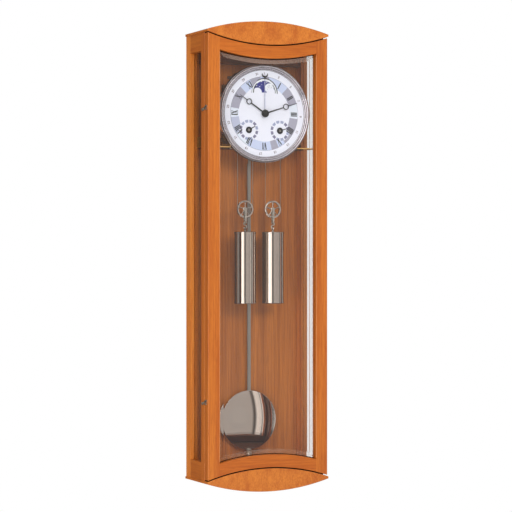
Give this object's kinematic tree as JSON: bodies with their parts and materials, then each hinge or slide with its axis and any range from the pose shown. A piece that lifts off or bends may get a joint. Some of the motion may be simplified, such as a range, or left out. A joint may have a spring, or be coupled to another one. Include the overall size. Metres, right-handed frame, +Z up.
{
  "type": "pendulum wall clock",
  "caption": "Wooden wall clock with a glazed door and sides, calendar and moon-phase dial, striking movement, cable-hung weights and a swinging pendulum.",
  "frame": {"origin": "on the wall plane, on the clock's centre line, half way up the door", "axes": "+X to the clock's right seen from the front, +Y into the wall, +Z up"},
  "size_m": [0.2677, 0.117, 0.9342],
  "materials": {
    "cherry_wood": "satin lacquer",
    "back_veneer": "satin veneer, vertical grain",
    "clear_glass": "clear, bevelled on the door",
    "plated_steel": "plated",
    "polished_nickel": "polished",
    "satin_steel": "satin",
    "brass": "polished",
    "white_enamel": "satin",
    "chapter_print": "satin",
    "moon_blue": "satin",
    "black_enamel": "gloss"
  },
  "bodies": {
    "case": {"crown": "cherry_wood", "base": "cherry_wood", "front_stiles": "cherry_wood", "rear_stiles": "cherry_wood", "side_rails": "cherry_wood", "side_glasses": "clear_glass", "side_glass_beads": "cherry_wood", "back_panel": "back_veneer", "hanging_rail": "cherry_wood", "hanger_plate": "plated_steel", "case_screws": "plated_steel", "seat_plate": "brass", "hinge_case_leaves": "plated_steel", "dial_plate": "white_enamel", "bezel": "polished_nickel", "chapter_ring": "chapter_print", "front_plate": "brass", "back_plate": "brass", "plate_pillars": "brass", "suspension_cock": "brass", "bell": "brass", "left_cable": "satin_steel", "right_cable": "satin_steel"},
    "door": {"door_left_stile": "cherry_wood", "door_right_stile": "cherry_wood", "door_top_rail": "cherry_wood", "door_bottom_rail": "cherry_wood", "door_glass": "clear_glass", "door_glass_beads": "cherry_wood", "door_metalwork": "plated_steel"},
    "upper_latch": {"upper_latch_hook": "plated_steel"},
    "lower_latch": {"lower_latch_hook": "plated_steel"},
    "pendulum": {"pendulum_leader": "satin_steel", "pendulum_rod": "satin_steel", "bob": "polished_nickel", "rating_nut": "plated_steel"},
    "anchor": {"anchor": "satin_steel"},
    "left_weight": {"left_weight": "polished_nickel", "left_pulley_fork": "plated_steel"},
    "right_weight": {"right_weight": "polished_nickel", "right_pulley_fork": "plated_steel"},
    "left_pulley": {"left_pulley": "polished_nickel"},
    "right_pulley": {"right_pulley": "polished_nickel"},
    "left_drum": {"left_drum": "satin_steel"},
    "right_drum": {"right_drum": "satin_steel"},
    "minute_hand": {"minute_hand": "black_enamel"},
    "minute_wheel": {"minute_wheel": "brass"},
    "hour_hand": {"hour_hand": "black_enamel"},
    "date_hand": {"date_hand": "black_enamel"},
    "weekday_hand": {"weekday_hand": "black_enamel"},
    "month_hand": {"month_hand": "black_enamel"},
    "moon_disc": {"moon_disc": "moon_blue"},
    "escape_wheel": {"escape_wheel": "brass"},
    "third_wheel": {"third_wheel": "brass"},
    "centre_wheel": {"centre_wheel": "brass"},
    "intermediate_wheel": {"intermediate_wheel": "brass"},
    "great_wheel": {"great_wheel": "brass"},
    "strike_great_wheel": {"strike_great_wheel": "brass"},
    "strike_pin_wheel": {"strike_pin_wheel": "brass"},
    "hammer": {"hammer": "satin_steel"}
  },
  "joints": [
    {"name": "door_hinge", "type": "hinge", "parent": "case", "child": "door", "pos_m": [0.1326, -0.0967, 0], "axis": [0, 0, 1], "range_deg": [0, 110]},
    {"name": "upper_latch_turn", "type": "hinge", "parent": "case", "child": "upper_latch", "pos_m": [-0.13, -0.09, 0.29], "axis": [1, 0, 0], "range_deg": [-70, 20]},
    {"name": "lower_latch_turn", "type": "hinge", "parent": "case", "child": "lower_latch", "pos_m": [-0.13, -0.09, -0.29], "axis": [1, 0, 0], "range_deg": [-70, 20]},
    {"name": "pendulum_swing", "type": "hinge", "parent": "case", "child": "pendulum", "pos_m": [0, -0.017, 0.325], "axis": [0, 1, 0], "range_deg": [-2.5, 2.5]},
    {"name": "anchor_rock", "type": "hinge", "parent": "case", "child": "anchor", "pos_m": [0, -0.034, 0.325], "axis": [0, 1, 0], "range_deg": [-2.6, 2.6]},
    {"name": "left_weight_slide", "type": "slide", "parent": "case", "child": "left_weight", "axis": [0, 0, 1], "range_m": [-0.3, 0.085], "deforming": ["left_cable"]},
    {"name": "left_pulley_turn", "type": "hinge", "parent": "left_weight", "child": "left_pulley", "pos_m": [-0.0305, -0.067, 0.095], "axis": [0, 1, 0], "range_deg": [-1042, 296]},
    {"name": "left_drum_turn", "type": "hinge", "parent": "case", "child": "left_drum", "pos_m": [-0.034, -0.067, 0.252], "axis": [0, 1, 0], "range_deg": [-2646, 750]},
    {"name": "right_weight_slide", "type": "slide", "parent": "case", "child": "right_weight", "axis": [0, 0, 1], "range_m": [-0.3, 0.085], "deforming": ["right_cable"]},
    {"name": "right_pulley_turn", "type": "hinge", "parent": "right_weight", "child": "right_pulley", "pos_m": [0.0305, -0.067, 0.095], "axis": [0, 1, 0], "range_deg": [-296, 1042]},
    {"name": "right_drum_turn", "type": "hinge", "parent": "case", "child": "right_drum", "pos_m": [0.034, -0.067, 0.252], "axis": [0, 1, 0], "range_deg": [-750, 2646]},
    {"name": "minute_hand_turn", "type": "hinge", "parent": "case", "child": "minute_hand", "pos_m": [0, -0.098, 0.2855], "axis": [0, 1, 0], "continuous": true},
    {"name": "minute_wheel_turn", "type": "hinge", "parent": "case", "child": "minute_wheel", "pos_m": [-0.012, -0.083, 0.2855], "axis": [0, 1, 0], "continuous": true},
    {"name": "hour_hand_turn", "type": "hinge", "parent": "case", "child": "hour_hand", "pos_m": [0, -0.097, 0.2855], "axis": [0, 1, 0], "continuous": true},
    {"name": "date_hand_turn", "type": "hinge", "parent": "case", "child": "date_hand", "pos_m": [0, -0.0955, 0.2855], "axis": [0, 1, 0], "continuous": true},
    {"name": "weekday_hand_turn", "type": "hinge", "parent": "case", "child": "weekday_hand", "pos_m": [-0.034, -0.094, 0.252], "axis": [0, 1, 0], "continuous": true},
    {"name": "month_hand_turn", "type": "hinge", "parent": "case", "child": "month_hand", "pos_m": [0.034, -0.094, 0.252], "axis": [0, 1, 0], "continuous": true},
    {"name": "moon_disc_turn", "type": "hinge", "parent": "case", "child": "moon_disc", "pos_m": [0, -0.091, 0.3235], "axis": [0, 1, 0], "continuous": true},
    {"name": "escape_wheel_turn", "type": "hinge", "parent": "case", "child": "escape_wheel", "pos_m": [0, -0.039, 0.3095], "axis": [0, 1, 0], "continuous": true},
    {"name": "third_wheel_turn", "type": "hinge", "parent": "case", "child": "third_wheel", "pos_m": [-0.00926, -0.043, 0.29976], "axis": [0, 1, 0], "continuous": true},
    {"name": "centre_wheel_turn", "type": "hinge", "parent": "case", "child": "centre_wheel", "pos_m": [0, -0.047, 0.2855], "axis": [0, 1, 0], "continuous": true},
    {"name": "intermediate_wheel_turn", "type": "hinge", "parent": "case", "child": "intermediate_wheel", "pos_m": [0.0256, -0.05, 0.28598], "axis": [0, 1, 0], "continuous": true},
    {"name": "great_wheel_turn", "type": "hinge", "parent": "case", "child": "great_wheel", "pos_m": [0.034, -0.055, 0.252], "axis": [0, 1, 0], "continuous": true},
    {"name": "strike_great_wheel_turn", "type": "hinge", "parent": "case", "child": "strike_great_wheel", "pos_m": [-0.034, -0.055, 0.252], "axis": [0, 1, 0], "continuous": true},
    {"name": "strike_pin_wheel_turn", "type": "hinge", "parent": "case", "child": "strike_pin_wheel", "pos_m": [-0.038, -0.05, 0.28677], "axis": [0, 1, 0], "continuous": true},
    {"name": "hammer_swing", "type": "hinge", "parent": "case", "child": "hammer", "pos_m": [-0.055, -0.062, 0.305], "axis": [0, 1, 0], "range_deg": [-8, 0], "stiffness_Nm_per_rad": 0.02, "springref_deg": 11.46}
  ],
  "couplings": [
    {"joint": "anchor_rock", "follows": "pendulum_swing", "ratio": 1},
    {"joint": "right_pulley_turn", "follows": "right_weight_slide", "rad_per_m": -60.606},
    {"joint": "left_pulley_turn", "follows": "left_weight_slide", "rad_per_m": 60.606},
    {"joint": "right_drum_turn", "follows": "right_weight_slide", "rad_per_m": -153.85},
    {"joint": "left_drum_turn", "follows": "left_weight_slide", "rad_per_m": 153.85},
    {"joint": "minute_wheel_turn", "follows": "minute_hand_turn", "ratio": -0.33333},
    {"joint": "hour_hand_turn", "follows": "minute_hand_turn", "ratio": 0.083333},
    {"joint": "third_wheel_turn", "follows": "escape_wheel_turn", "ratio": -0.12},
    {"joint": "centre_wheel_turn", "follows": "escape_wheel_turn", "ratio": 0.016},
    {"joint": "intermediate_wheel_turn", "follows": "escape_wheel_turn", "ratio": -0.002963},
    {"joint": "great_wheel_turn", "follows": "escape_wheel_turn", "ratio": 0.00049383},
    {"joint": "strike_pin_wheel_turn", "follows": "strike_great_wheel_turn", "ratio": -6}
  ]
}
